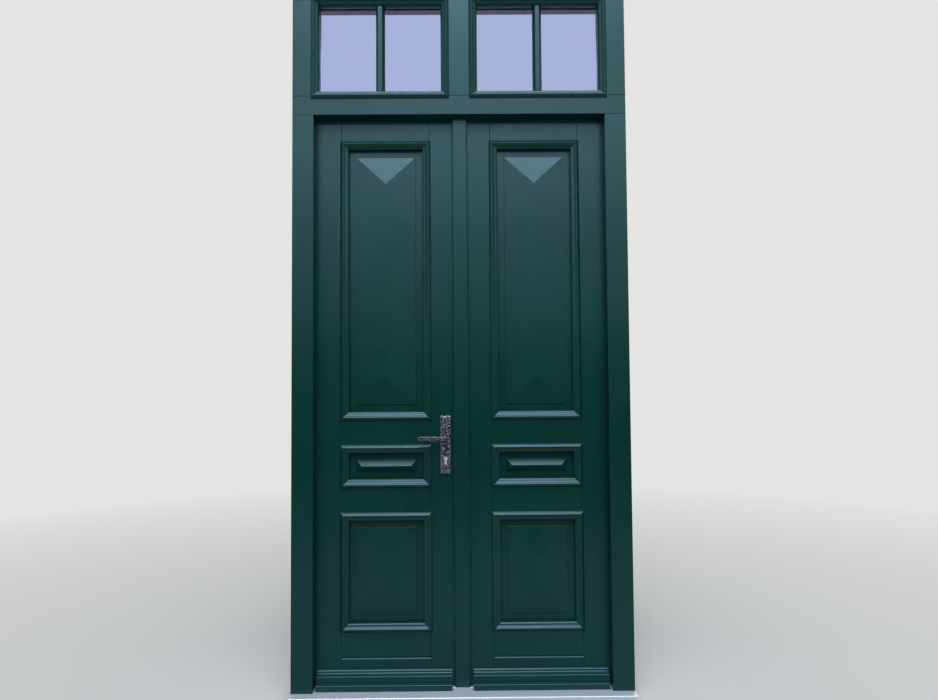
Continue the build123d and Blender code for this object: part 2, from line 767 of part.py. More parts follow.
flush_plates = []
for plate_zone, slot_z in ((top_plate_z, top_slot_z), (foot_plate_z, foot_slot_z)):
    with BuildPart() as flush_plate:
        block((0, flush_plate_thickness), bolt_y, plate_zone)
        block((0, flush_plate_thickness), slot_y, slot_z, Mode.SUBTRACT)
    flush_plates.append(flush_plate.part)
save(Compound(children=flush_plates), "flush_bolt_plates")

for name, bolt_z, thumb_z in (
    ("top_flush_bolt", top_bolt_z, top_thumb_z),
    ("bottom_flush_bolt", foot_bolt_z, foot_thumb_z),
):
    with BuildPart() as flush_bolt:
        upright_pin(flush_bolt_inset, leaf_middle, bolt_z, flush_bolt_radius)
        block((thumb_recess, flush_bolt_inset), around(leaf_middle, thumb_width), thumb_z)
    save(flush_bolt.part, name)

# Keeps: a plate let into the transom's rebate, and a thinner one on the threshold
with BuildPart() as top_keep:
    block(keep_x, bolt_y, keep_seat)
    upright_pin(flush_bolt_inset, leaf_middle, keep_seat, bolt_bore, Mode.SUBTRACT)
with BuildPart() as foot_keep:
    foot_keep_z = (threshold_height, threshold_height + foot_keep_thickness)
    block(keep_x, bolt_y, foot_keep_z)
    upright_pin(flush_bolt_inset, leaf_middle, foot_keep_z, bolt_bore, Mode.SUBTRACT)
save(Compound(children=[top_keep.part, foot_keep.part]), "bolt_keeps")

# Astragals: the outside one belongs to the passive leaf, the inside cover strip to the active one
with BuildPart() as astragal:
    astragal_z = (astragal_foot, transom_foot - astragal_head_gap)
    block(around(0, astragal_width), (leaf_face - astragal_thickness, leaf_face), astragal_z)
    fillet(astragal.edges().filter_by(Axis.Z).group_by(Axis.Y)[0], astragal_round)
    relief_y = (leaf_face - astragal_relief, leaf_face)
    block((-astragal_width / 2, 0), relief_y, astragal_z, Mode.SUBTRACT)
save(astragal.part, "astragal")

with BuildPart() as inside_astragal:
    strip_z = (inside_astragal_foot, transom_foot - inside_astragal_drop)
    block(around(0, inside_astragal_width), (leaf_back, leaf_back + inside_astragal_thickness), strip_z)
    fillet(inside_astragal.edges().filter_by(Axis.Z).group_by(Axis.Y)[-1], inside_astragal_round)
    relief_y = (leaf_back, leaf_back + astragal_relief)
    block((lock_edge, inside_astragal_width / 2), relief_y, strip_z, Mode.SUBTRACT)
save(inside_astragal.part, "inside_astragal")

# Lift-off hinges: the frame half carries the pin, and the leaf half turns on it
frame_halves = []
for leaf, side in (("active", -1), ("passive", 1)):
    leaf_halves = []
    barrel_x = side * axis_x
    frame_plate = span(side * rebate_half, side * (rebate_half + hinge_plate_thickness))
    leaf_plate = span(side * hinge_edge, side * (hinge_edge - hinge_plate_thickness))
    plate_y = (leaf_back - hinge_plate_depth, leaf_back)
    for height in hinge_heights:
        lower_z = (height - knuckle_length - knuckle_gap / 2, height - knuckle_gap / 2)
        upper_z = (height + knuckle_gap / 2, height + knuckle_length + knuckle_gap / 2)
        with BuildPart() as frame_half:
            block(frame_plate, plate_y, around(height, hinge_plate_length))
            block(frame_plate, (leaf_back, axis_y), lower_z)
            upright_pin(barrel_x, axis_y, lower_z, knuckle_radius)
            upright_pin(barrel_x, axis_y, (lower_z[1], height + pin_reach), hinge_pin_radius)
        frame_halves.append(frame_half.part)
        with BuildPart() as leaf_half:
            block(leaf_plate, plate_y, around(height, hinge_plate_length))
            block(leaf_plate, (leaf_back, axis_y), upper_z)
            upright_pin(barrel_x, axis_y, upper_z, knuckle_radius)
            bore_z = (upper_z[0], height + pin_reach + knuckle_gap)
            upright_pin(barrel_x, axis_y, bore_z, hinge_pin_radius + pin_clearance, Mode.SUBTRACT)
        leaf_halves.append(leaf_half.part)
    save(Compound(children=leaf_halves), f"{leaf}_leaf_hinges")
save(Compound(children=frame_halves), "frame_hinges")

# Transom lights: mouldings outside, beads inside, and bars planted on both sides of the glass
light_z = (transom_head, head_foot)
glass_back = glass_setback + 2 * sheet_thickness + glass_cavity
light_mouldings = []
light_beads = []
bars = []
spacers = []
for name, side in (("glass_left", -1), ("glass_right", 1)):
    light_x = span(side * mullion_width / 2, side * clear_half)
    outer_x = grown(light_x, light_lap)
    outer_z = grown(light_z, light_lap)
    light_mouldings += moulding_ring(outer_x, outer_z, 0, outside, light_bolection)
    bead_x = grown(light_x, -moulding_play)
    bead_z = grown(light_z, -moulding_play)
    light_beads += moulding_ring(bead_x, bead_z, glass_back + light_bead_depth, inside, light_bead)
    glass_x = grown(light_x, -glass_edge_gap)
    glass_z = grown(light_z, -glass_edge_gap)
    sheets = []
    for sheet_face in (glass_setback, glass_back - sheet_thickness):
        with BuildPart() as sheet:
            block(glass_x, (sheet_face, sheet_face + sheet_thickness), glass_z)
        sheets.append(sheet.part)
    save(Compound(children=sheets), name)
    cavity_y = (glass_setback + sheet_thickness, glass_back - sheet_thickness)
    bar_x = sum(light_x) / 2
    with BuildPart() as spacer:
        block(glass_x, cavity_y, glass_z)
        block(grown(glass_x, -spacer_width), cavity_y, grown(glass_z, -spacer_width), Mode.SUBTRACT)
        block(around(bar_x, bar_spacer_width), cavity_y, grown(glass_z, -spacer_width))
    spacers.append(spacer.part)
    bar_z = grown(outer_z, -moulding_width - moulding_play)
    bar_front = glass_setback - bar_depth
    with BuildPart() as outside_bar:
        with BuildSketch(Plane.XY.offset(bar_z[0])):
            with BuildLine() as half_section:
                Polyline(
                    (bar_x, glass_setback),
                    (bar_x + bar_width / 2, glass_setback),
                    (bar_x + bar_width / 2, glass_setback - bar_step),
                    (bar_x + bar_face_width / 2, bar_front + bar_arris),
                    (bar_x + bar_face_width / 2 - bar_arris, bar_front),
                    (bar_x, bar_front),
                )
                mirror(about=Plane.YZ.offset(bar_x))
            make_face()
        extrude(amount=bar_z[1] - bar_z[0])
    inside_bar_z = grown(light_z, -light_bead_width - moulding_play)
    with BuildPart() as inside_bar:
        block(around(bar_x, bar_width), (glass_back, glass_back + light_bead_depth), inside_bar_z)
        chamfer(inside_bar.edges().filter_by(Axis.Z).group_by(Axis.Y)[-1], bar_step)
    bars += [outside_bar.part, inside_bar.part]
save(Compound(children=light_mouldings), "light_mouldings")
save(Compound(children=light_beads), "light_beads")
save(Compound(children=bars), "glazing_bars")
save(Compound(children=spacers), "glass_spacers")

# Seal on the frame's stop: two uprights and a head length between them
seal_y = (stop_depth, leaf_face - seal_clearance)
seal_near = clear_half + seal_inset
seal_far = seal_near + seal_width
seal_head = (transom_foot + seal_inset, transom_foot + seal_inset + seal_width)
seals = []
for side in (-1, 1):
    with BuildPart() as upright_seal:
        block(span(side * seal_near, side * seal_far), seal_y, (leaf_foot, seal_head[1]))
    seals.append(upright_seal.part)
with BuildPart() as head_seal:
    block((-seal_near, seal_near), seal_y, seal_head)
seals.append(head_seal.part)
save(Compound(children=seals), "frame_seal")
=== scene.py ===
import math

import bmesh
import bpy
from bpy.props import FloatProperty, FloatVectorProperty, PointerProperty
from mathutils import Matrix, Vector


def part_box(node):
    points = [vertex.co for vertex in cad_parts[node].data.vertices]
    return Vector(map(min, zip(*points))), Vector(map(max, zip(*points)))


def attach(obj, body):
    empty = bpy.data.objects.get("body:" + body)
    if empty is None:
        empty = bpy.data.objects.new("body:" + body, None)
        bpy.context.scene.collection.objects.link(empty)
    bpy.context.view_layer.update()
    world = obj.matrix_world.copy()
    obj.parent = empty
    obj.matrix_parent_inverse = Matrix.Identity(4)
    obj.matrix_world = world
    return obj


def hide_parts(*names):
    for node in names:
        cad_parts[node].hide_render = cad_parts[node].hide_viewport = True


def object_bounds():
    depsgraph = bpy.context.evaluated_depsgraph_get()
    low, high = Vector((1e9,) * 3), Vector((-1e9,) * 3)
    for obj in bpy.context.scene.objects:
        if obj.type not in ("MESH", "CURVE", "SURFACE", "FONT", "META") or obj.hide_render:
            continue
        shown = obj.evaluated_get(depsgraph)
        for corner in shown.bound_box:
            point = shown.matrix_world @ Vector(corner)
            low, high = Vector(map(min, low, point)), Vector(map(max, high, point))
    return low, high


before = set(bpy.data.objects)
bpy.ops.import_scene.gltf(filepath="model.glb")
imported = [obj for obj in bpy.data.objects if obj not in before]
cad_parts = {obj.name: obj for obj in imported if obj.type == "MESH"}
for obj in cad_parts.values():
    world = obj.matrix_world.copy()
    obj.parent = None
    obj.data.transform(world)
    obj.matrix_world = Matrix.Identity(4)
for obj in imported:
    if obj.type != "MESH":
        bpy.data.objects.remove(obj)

bl_info = {
    "name": "Double front door",
    "version": (1, 0, 0),
    "blender": (4, 5, 0),
    "location": "3D View > Sidebar > Door",
    "description": "Finishes and fine forms of a panelled double front door in its frame",
    "category": "Object",
}

BOUNDS_AT_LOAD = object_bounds()
LEAVES = ("active", "passive")
PANELS = ("lower_panel", "middle_panel", "upper_panel")
BODY_OF_LEAF = {"active": "active_leaf", "passive": "frame"}

# Turns of a surface, above which its edge is eased
TIMBER_TURN = math.radians(35)
MOULDING_TURN = math.radians(30)
PANEL_TURN = math.radians(4)

# Widths of the eased edges of other timber, as multiples of a stile's
BEAD_EASE = 1.5
ASTRAGAL_EASE = 2
PANEL_EASE = 4
BOARD_EASE = 6

# Widths of the eased edges of metal, glass and rubber, in metres
LOCK_EDGE = 0.0004
SPACER_EDGE = 0.0005
GLASS_EDGE = 0.0006
HINGE_EDGE = 0.0006
CYLINDER_EDGE = 0.0006
THRESHOLD_EDGE = 0.0006
SEAL_EDGE = 0.0008
LEVER_EDGE = 0.0012
PLATE_EDGE = 0.0020

# A keep that lies this far above the threshold isn't seated on it
KEEP_REACH = 0.01

# Corners closer than this are one corner
WELD_DISTANCE = 0.00001

# Most of a cloudy noise lies between these two values
NOISE_LOW = 0.3
NOISE_HIGH = 0.7

SENSOR_WIDTH = 36.0


# Sizes and colours

class DoorPaintSettings(bpy.types.PropertyGroup):
    colour: FloatVectorProperty(
        name="Paint colour", description="Colour of the satin paint on all the timber",
        subtype="COLOR", size=3, min=0, max=1, default=(0.0006, 0.0275, 0.0210))
    roughness: FloatProperty(
        name="Roughness", description="How satin the paint is, from gloss to matt",
        subtype="FACTOR", min=0, max=1, default=0.28)
    arris: FloatProperty(
        name="Arris", description="Width of the eased edges of the timber",
        unit="LENGTH", min=0, default=0.00025)
    # Painted reflection: this bluish tint gives the paint's reflections the colour of a blue sky, though the
    # lamps are nearly white
    painted_sky_tint: FloatVectorProperty(
        name="Reflection", description="Tint of what the satin paint reflects",
        subtype="COLOR", size=3, min=0, max=1, default=(0.50, 0.75, 1.0))
    sheen: FloatProperty(
        name="Sheen", description="How strongly the satin paint reflects",
        subtype="FACTOR", min=0, max=1, default=0.42)
    brush_depth: FloatProperty(
        name="Brush marks", description="Depth of the marks that the brush left",
        unit="LENGTH", min=0, default=0.00012)


class DoorMouldingSettings(bpy.types.PropertyGroup):
    width: FloatProperty(
        name="Width", description="Width of the bolection mouldings",
        unit="LENGTH", min=0, default=0.035)
    lap: FloatProperty(
        name="Lap", description="Part of a moulding's width that lies over a stile or rail",
        unit="LENGTH", min=0, default=0.008)
    light_lap: FloatProperty(
        name="Lap at the lights", description="The same, round the transom lights",
        unit="LENGTH", min=0, default=0.012)
    fall: FloatProperty(
        name="Fall", description="How far the inner edge of a moulding lies behind the stiles",
        unit="LENGTH", min=0, default=0.0015)
    light_fall: FloatProperty(
        name="Fall at the lights", description="The same, in front of the glass",
        unit="LENGTH", min=0, default=0.014)
    play: FloatProperty(
        name="Play", description="Room between a moulding and the edge that it drops into",
        unit="LENGTH", min=0, default=0.0003)
    panel_inset: FloatProperty(
        name="Panel inset", description="From a panel's edge in to the rectangle that its moulding laps over",
        unit="LENGTH", min=0, default=0.0015)
    glass_gap: FloatProperty(
        name="Glass edge gap", description="Room between the glass and the wood on each side",
        unit="LENGTH", min=0, default=0.005)
    mitre_line: FloatProperty(
        name="Mitre line", description="Width of the fine line that shows at each mitre",
        unit="LENGTH", min=0, default=0.00012)


class DoorMetalSettings(bpy.types.PropertyGroup):
    pewter: FloatVectorProperty(
        name="Pewter", description="Dark ground colour of the hammered handles",
        subtype="COLOR", size=3, min=0, max=1, default=(0.008, 0.009, 0.013))
    # Partly painted highlight: besides the rubbed-through finish, this pale bluish colour paints in the
    # glints of the hammer facets
    pewter_worn_and_glint: FloatVectorProperty(
        name="Worn pewter", description="Colour where the dark finish is rubbed through",
        subtype="COLOR", size=3, min=0, max=1, default=(0.30, 0.345, 0.44))
    steel: FloatVectorProperty(
        name="Steel", description="Colour of the lock and bolt furniture",
        subtype="COLOR", size=3, min=0, max=1, default=(0.50, 0.50, 0.51))
    hinge: FloatVectorProperty(
        name="Hinge steel", description="Colour of the hinges",
        subtype="COLOR", size=3, min=0, max=1, default=(0.24, 0.245, 0.25))
    cylinder: FloatVectorProperty(
        name="Cylinder", description="Colour of the lock cylinder and its plug",
        subtype="COLOR", size=3, min=0, max=1, default=(0.76, 0.73, 0.70))
    # Partly painted reflection: the aluminium's grey carries a bluish cast that paints in the sky that its
    # top reflects
    threshold: FloatVectorProperty(
        name="Threshold", description="Colour of the aluminium threshold",
        subtype="COLOR", size=3, min=0, max=1, default=(0.50, 0.56, 0.65))
    spacer: FloatVectorProperty(
        name="Spacer", description="Colour of the spacers between the sheets of glass",
        subtype="COLOR", size=3, min=0, max=1, default=(0.62, 0.63, 0.66))
    dimple: FloatProperty(
        name="Hammer mark", description="Distance between the hammer marks on the handles",
        unit="LENGTH", min=0.0001, default=0.0046)


class DoorGlassSettings(bpy.types.PropertyGroup):
    # Mostly painted reflection: this strong lavender-blue tint paints in the sky that the panes reflect,
    # beyond the glass's own slight tint
    tint: FloatVectorProperty(
        name="Glass tint", description="Colour that light takes on through one sheet",
        subtype="COLOR", size=3, min=0, max=1, default=(0.69, 0.742, 0.955))
    seal: FloatVectorProperty(
        name="Seal", description="Colour of the weather seal",
        subtype="COLOR", size=3, min=0, max=1, default=(0.012, 0.012, 0.013))


class DoorHandleSettings(bpy.types.PropertyGroup):
    hammer_depth: FloatProperty(
        name="Hammer depth", description="Depth of the hammer marks",
        unit="LENGTH", min=0, default=0.00035)
    screw_radius: FloatProperty(
        name="Screw head radius", description="Radius of the countersunk screw heads",
        unit="LENGTH", min=0, default=0.0036)
    screw_stand: FloatProperty(
        name="Screw head height", description="How far a screw head stands off its plate",
        unit="LENGTH", min=0, default=0.0006)


class DoorFurnitureSettings(bpy.types.PropertyGroup):
    lock_inset: FloatProperty(
        name="Lock screw inset", description="From the end of a lock plate to its screw",
        unit="LENGTH", min=0, default=0.012)
    bolt_inset: FloatProperty(
        name="Bolt screw inset", description="From the end of a flush bolt's plate or keep to its screw",
        unit="LENGTH", min=0, default=0.010)
    bolt_plate: FloatProperty(
        name="Bolt plate length", description="Length of a flush bolt's edge plate",
        unit="LENGTH", min=0, default=0.180)
    foot_keep: FloatProperty(
        name="Foot keep thickness", description="Thickness of the keep on the threshold",
        unit="LENGTH", min=0, default=0.0015)
    head_keep: FloatProperty(
        name="Head keep thickness", description="Thickness of the keep in the transom rail",
        unit="LENGTH", min=0, default=0.003)
    hinge_length: FloatProperty(
        name="Hinge length", description="Length of a hinge plate",
        unit="LENGTH", min=0, default=0.120)
    hinge_depth: FloatProperty(
        name="Hinge depth", description="Width of a hinge plate across the jamb",
        unit="LENGTH", min=0, default=0.036)
    hinge_thickness: FloatProperty(
        name="Hinge thickness", description="Thickness of a hinge plate",
        unit="LENGTH", min=0, default=0.003)
    hinge_screw_near: FloatProperty(
        name="Inner hinge screws", description="From the middle of a hinge plate to its inner screws",
        unit="LENGTH", min=0, default=0.016)
    hinge_screw_far: FloatProperty(
        name="Outer hinge screws", description="From the middle of a hinge plate to its outer screws",
        unit="LENGTH", min=0, default=0.046)
    hinge_stagger: FloatProperty(
        name="Hinge screw stagger", description="How far a hinge screw lies beside the plate's middle line",
        unit="LENGTH", min=0, default=0.007)


class DoorStageSettings(bpy.types.PropertyGroup):
    floor: FloatVectorProperty(
        name="Floor colour", description="Colour of the floor",
        subtype="COLOR", size=3, min=0, max=1, default=(0.43, 0.43, 0.425))
    background: FloatVectorProperty(
        name="Background", description="Colour of the background behind the door",
        subtype="COLOR", size=3, min=0, max=1, default=(0.78, 0.78, 0.77))
    floor_glow: FloatProperty(
        name="Floor glow", description="How far the floor near the door takes on the background's colour",
        subtype="FACTOR", min=0, max=1, default=0.0)
    ambient: FloatVectorProperty(
        name="Ambient light", description="Colour of the soft light from all around",
        subtype="COLOR", size=3, min=0, max=1, default=(0.19, 0.20, 0.21))
    lamp_colour: FloatVectorProperty(
        name="Lamp colour", description="Colour of the lamps",
        subtype="COLOR", size=3, min=0, max=1, default=(0.94, 0.97, 1.0))
    key_place: FloatVectorProperty(
        name="Key lamp place", description="Where the large lamp in front of the door hangs",
        subtype="TRANSLATION", size=3, default=(0.0, -11.0, 12.0))
    key_size: FloatVectorProperty(
        name="Key lamp size", description="Width and height of the large lamp in front",
        unit="LENGTH", size=2, min=0, default=(8.0, 5.2))
    key_power: FloatProperty(
        name="Key lamp power", description="Power of the large lamp in front, in watts",
        min=0, default=1170)
    high_place: FloatVectorProperty(
        name="High lamp place", description="Where the overhead lamp hangs",
        subtype="TRANSLATION", size=3, default=(0.0, -3.5, 9.5))
    high_size: FloatVectorProperty(
        name="High lamp size", description="Width and depth of the overhead lamp",
        unit="LENGTH", size=2, min=0, default=(7.0, 5.0))
    high_power: FloatProperty(
        name="High lamp power", description="Power of the overhead lamp, in watts",
        min=0, default=640)
    low_place: FloatVectorProperty(
        name="Low lamp place", description="Where the wide, weak lamp below the large one hangs",
        subtype="TRANSLATION", size=3, default=(0.0, -10.0, 5.8))
    low_size: FloatVectorProperty(
        name="Low lamp size", description="Width and height of the wide, weak lamp",
        unit="LENGTH", size=2, min=0, default=(20.0, 1.4))
    low_power: FloatProperty(
        name="Low lamp power", description="Power of the wide, weak lamp, in watts",
        min=0, default=340)
    back_place: FloatVectorProperty(
        name="Back lamp place", description="Where the lamp behind the door hangs",
        subtype="TRANSLATION", size=3, default=(1.5, 8.0, 7.0))
    back_size: FloatVectorProperty(
        name="Back lamp size", description="Width and depth of the lamp behind the door",
        unit="LENGTH", size=2, min=0, default=(7.0, 5.0))
    back_power: FloatProperty(
        name="Back lamp power", description="Power of the lamp behind the door, in watts",
        min=0, default=420)
    card_distance: FloatProperty(
        name="Dark card distance", description="How far in front of the door the studio's dark card stands",
        unit="LENGTH", min=0, default=2.8)
    card_height: FloatProperty(
        name="Dark card height", description="Height of the dark card",
        unit="LENGTH", min=0, default=1.7)
    card_width: FloatProperty(
        name="Dark card width", description="Width of the dark card",
        unit="LENGTH", min=0, default=14.0)
    lens: FloatProperty(
        name="Lens", description="Focal length of the camera in millimetres",
        min=1, default=26.98)
    camera_place: FloatVectorProperty(
        name="Camera place", description="Where the camera stands",
        subtype="TRANSLATION", size=3, default=(0.0162, -2.9086, 1.2943))
    yaw: FloatProperty(
        name="Yaw", description="How far the camera turns to the right",
        subtype="ANGLE", default=math.radians(0.354))
    pitch: FloatProperty(
        name="Pitch", description="How far the camera looks up",
        subtype="ANGLE", default=math.radians(2.399))
    roll: FloatProperty(
        name="Roll", description="How far the camera leans to the left",
        subtype="ANGLE", default=math.radians(-0.4176))


SETTINGS = {
    "door_paint": DoorPaintSettings,
    "door_mouldings": DoorMouldingSettings,
    "door_metal": DoorMetalSettings,
    "door_glass": DoorGlassSettings,
    "door_handles": DoorHandleSettings,
    "door_furniture": DoorFurnitureSettings,
    "door_stage": DoorStageSettings,
}


# Materials

class Finish:
    """A material in the making, with short ways to add and join its nodes."""

    def __init__(self, name, colour, roughness, metallic=0.0):
        self.material = bpy.data.materials.new(name)
        self.material.use_nodes = True
        self.material.diffuse_color = (*colour, 1.0)
        self.tree = self.material.node_tree
        self.shader = self.tree.nodes["Principled BSDF"]
        self.shader.inputs["Base Color"].default_value = (*colour, 1.0)
        self.shader.inputs["Roughness"].default_value = roughness
        self.shader.inputs["Metallic"].default_value = metallic
        self.place = self.tree.nodes.new("ShaderNodeTexCoord").outputs["Object"]

    def link(self, source, target):
        self.tree.links.new(source, target)

    def stretched(self, scale):
        """Object coordinates, stretched so that one unit of noise is 1 / scale metres."""
        mapping = self.tree.nodes.new("ShaderNodeMapping")
        mapping.inputs["Scale"].default_value = scale
        self.link(self.place, mapping.inputs["Vector"])
        return mapping.outputs["Vector"]

    def noise(self, scale, detail=3.0, roughness=0.5):
        """Cloudy noise from 0 to 1."""
        node = self.tree.nodes.new("ShaderNodeTexNoise")
        node.inputs["Scale"].default_value = 1.0
        node.inputs["Detail"].default_value = detail
        node.inputs["Roughness"].default_value = roughness
        self.link(self.stretched(scale), node.inputs["Vector"])
        return node.outputs["Fac"]

    def ranged(self, value, low, high, to_low, to_high):
        """The value moved from one range to another, and held inside it."""
        node = self.tree.nodes.new("ShaderNodeMapRange")
        node.clamp = True
        node.inputs["From Min"].default_value = low
        node.inputs["From Max"].default_value = high
        node.inputs["To Min"].default_value = to_low
        node.inputs["To Max"].default_value = to_high
        self.link(value, node.inputs["Value"])
        return node.outputs["Result"]

    def spread(self, noise, to_low, to_high):
        """Cloudy noise drawn out over a range of values."""
        return self.ranged(noise, NOISE_LOW, NOISE_HIGH, to_low, to_high)

    def blend(self, factor, first, second):
        """A colour between two others."""
        node = self.tree.nodes.new("ShaderNodeMix")
        node.data_type = "RGBA"
        node.inputs[6].default_value = (*first, 1.0)
        node.inputs[7].default_value = (*second, 1.0)
        self.link(factor, node.inputs[0])
        return node.outputs[2]

    def bump(self, height, depth, strength=1.0, before=None):
        """Relief of a depth in metres, laid over an earlier one if there is one."""
        node = self.tree.nodes.new("ShaderNodeBump")
        node.inputs["Distance"].default_value = depth
        node.inputs["Strength"].default_value = strength
        self.link(height, node.inputs["Height"])
        if before:
            self.link(before, node.inputs["Normal"])
        return node.outputs["Normal"]


def shade(colour, factor):
    """A colour made lighter or darker."""
    return tuple(min(1.0, part * factor) for part in colour)


def paint_finish(name, settings, grain):
    """Satin paint, with brush marks along the grain and a faint orange peel."""
    finish = Finish(name, settings.colour, settings.roughness)
    # Painted reflection: the bluish specular tint paints a blue sky's colour into the paint's reflections
    finish.shader.inputs["Specular Tint"].default_value = (*settings.painted_sky_tint, 1.0)
    finish.shader.inputs["Specular IOR Level"].default_value = settings.sheen
    clouds = finish.noise((2.3, 2.3, 1.6), 4.0)
    mottle = finish.spread(clouds, 0.0, 1.0)
    colour = finish.blend(mottle, shade(settings.colour, 0.90), shade(settings.colour, 1.10))
    finish.link(colour, finish.shader.inputs["Base Color"])
    sheen = finish.noise((9.0, 9.0, 7.0), 5.0)
    low = settings.roughness - 0.02
    high = settings.roughness + 0.04
    finish.link(finish.spread(sheen, low, high), finish.shader.inputs["Roughness"])
    across = 620.0
    along = 9.0
    even = 150.0
    scales = {
        "upright": (across, across, along),
        "level": (along, across, across),
        "all": (even, even, even),
    }
    marks = finish.noise(scales[grain], 3.0, 0.6)
    relief = finish.bump(marks, settings.brush_depth, 0.35)
    peel = finish.noise((320.0, 320.0, 320.0), 2.0)
    relief = finish.bump(peel, settings.brush_depth * 0.5, 0.25, relief)
    finish.link(relief, finish.shader.inputs["Normal"])
    return finish.material


def pewter_finish(name, settings, depth, roughness, painted_shade_factor):
    """Dark cast metal with hammer marks, paler on the high spots, where the finish is rubbed through and
    painted glints of the hammered facets lie; both colours are darkened by a painted shade factor.
    """
    # Painted shade: both pewter colours are darkened by this factor, 1 for none
    ground = shade(settings.pewter, painted_shade_factor)
    worn_and_glint = shade(settings.pewter_worn_and_glint, painted_shade_factor)
    finish = Finish(name, ground, roughness, 0.85)
    cells = 1.0 / settings.dimple
    marks = finish.noise((cells, cells, cells), 1.5, 0.45)
    grain = finish.noise((cells * 5, cells * 5, cells * 5), 3.0, 0.6)
    # Mask of the high spots that take the pale colour: rubbed finish and painted glints together
    rubbed = finish.ranged(marks, 0.47, 0.57, 0.0, 1.0)
    colour = finish.blend(rubbed, ground, worn_and_glint)
    finish.link(colour, finish.shader.inputs["Base Color"])
    spread = finish.spread(grain, roughness - 0.08, roughness + 0.08)
    finish.link(spread, finish.shader.inputs["Roughness"])
    relief = finish.bump(marks, depth * 3, 1.0)
    relief = finish.bump(grain, depth * 0.2, 0.6, relief)
    finish.link(relief, finish.shader.inputs["Normal"])
    return finish.material


def brushed_finish(name, colour, roughness, scale, metallic=1.0):
    """Bare metal with fine marks from its polishing, drawn out along one direction."""
    finish = Finish(name, colour, roughness, metallic)
    depth = 0.00003
    marks = finish.noise(scale, 4.0, 0.65)
    mottle = finish.spread(marks, 0.0, 1.0)
    mottled = finish.blend(mottle, shade(colour, 0.86), shade(colour, 1.10))
    finish.link(mottled, finish.shader.inputs["Base Color"])
    rubbed = finish.spread(marks, roughness - 0.06, roughness + 0.08)
    finish.link(rubbed, finish.shader.inputs["Roughness"])
    finish.link(finish.bump(marks, depth, 0.4), finish.shader.inputs["Normal"])
    return finish.material


def glass_finish(settings):
    """Clear float glass with a very slight unevenness; its own slight tint is strengthened to a bluish one
    that paints in the sky the panes reflect.
    """
    finish = Finish("float_glass", settings.tint, 0.0)
    finish.shader.inputs["Transmission Weight"].default_value = 1.0
    finish.shader.inputs["IOR"].default_value = 1.5
    waves = finish.noise((3.0, 3.0, 3.0), 1.0)
    finish.link(finish.bump(waves, 0.0002, 0.2), finish.shader.inputs["Normal"])
    haze = finish.noise((14.0, 14.0, 14.0), 3.0)
    finish.link(finish.ranged(haze, 0.45, 0.75, 0.0, 0.03), finish.shader.inputs["Roughness"])
    return finish.material


def rubber_finish(settings):
    """Matt extruded rubber with faint lines along it."""
    finish = Finish("matt_rubber", settings.seal, 0.62)
    lines = finish.noise((900.0, 900.0, 5.0), 2.0)
    finish.link(finish.spread(lines, 0.52, 0.72), finish.shader.inputs["Roughness"])
    finish.link(finish.bump(lines, 0.00005, 0.5), finish.shader.inputs["Normal"])
    return finish.material


def finish_named(name, make):
    """The material of that name, made the first time that it is asked for."""
    return bpy.data.materials.get(name) or make()


def paint(context, grain):
    name = f"satin_paint_{grain}"
    return finish_named(name, lambda: paint_finish(name, context.scene.door_paint, grain))


def pewter(context, name, roughness, painted_shade_factor):
    depth = context.scene.door_handles.hammer_depth
    colours = context.scene.door_metal
    return finish_named(name, lambda: pewter_finish(name, colours, depth, roughness, painted_shade_factor))


def metal(name, colour, roughness, scale, metallic=1.0):
    return finish_named(name, lambda: brushed_finish(name, colour, roughness, scale, metallic))


def lock_steel(context):
    """The drawn steel of the lock, the bolts and their plates."""
    colour = context.scene.door_metal.steel
    return metal("lock_steel", colour, roughness=0.30, scale=(600.0, 600.0, 12.0))


# Shapes

def node_object(name):
    """A carried-over piece of the frame, or a plain error if it is missing."""
    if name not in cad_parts:
        raise RuntimeError(f"the frame has no piece named {name}")
    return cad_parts[name]


def soften(obj, width, angle):
    """Rounds the edges that turn by more than an angle and evens out the shading."""
    for polygon in obj.data.polygons:
        polygon.use_smooth = True
    weld = obj.modifiers.new("weld", "WELD")
    weld.merge_threshold = WELD_DISTANCE
    bevel = obj.modifiers.new("arris", "BEVEL")
    bevel.width = width
    bevel.segments = 2
    bevel.limit_method = "ANGLE"
    bevel.angle_limit = angle
    normals = obj.modifiers.new("normals", "WEIGHTED_NORMAL")
    normals.keep_sharp = False


def dress(name, material, width, angle=TIMBER_TURN):
    """Gives a piece of the frame its finish and its eased edges."""
    obj = node_object(name)
    obj.data.materials.clear()
    obj.data.materials.append(material)
    soften(obj, width, angle)
    return obj


def add_piece(name, shape, material, body):
    """Turns a finished shape into an object that moves with a body of the frame."""
    if not shape.faces:
        raise RuntimeError(f"{name} has no faces")
    bmesh.ops.recalc_face_normals(shape, faces=shape.faces)
    mesh = bpy.data.meshes.new(name)
    shape.to_mesh(mesh)
    shape.free()
    mesh.materials.append(material)
    obj = bpy.data.objects.new(name, mesh)
    bpy.context.scene.collection.objects.link(obj)
    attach(obj, body)
    return obj


def arc_points(start, middle, end, steps=10):
    """Points on the circle through three points, without the first."""
    (ax, ay), (bx, by), (cx, cy) = start, middle, end
    turn = 2 * (ax * (by - cy) + bx * (cy - ay) + cx * (ay - by))
    a2, b2, c2 = ax * ax + ay * ay, bx * bx + by * by, cx * cx + cy * cy
    centre_x = (a2 * (by - cy) + b2 * (cy - ay) + c2 * (ay - by)) / turn
    centre_y = (a2 * (cx - bx) + b2 * (ax - cx) + c2 * (bx - ax)) / turn
    radius = math.hypot(ax - centre_x, ay - centre_y)
    first = math.atan2(ay - centre_y, ax - centre_x)
    last = math.atan2(cy - centre_y, cx - centre_x)
    sweep = (last - first) % math.tau
    if turn < 0:
        sweep -= math.tau
    angles = [first + sweep * step / steps for step in range(1, steps + 1)]
    return [(centre_x + radius * math.cos(a), centre_y + radius * math.sin(a)) for a in angles]


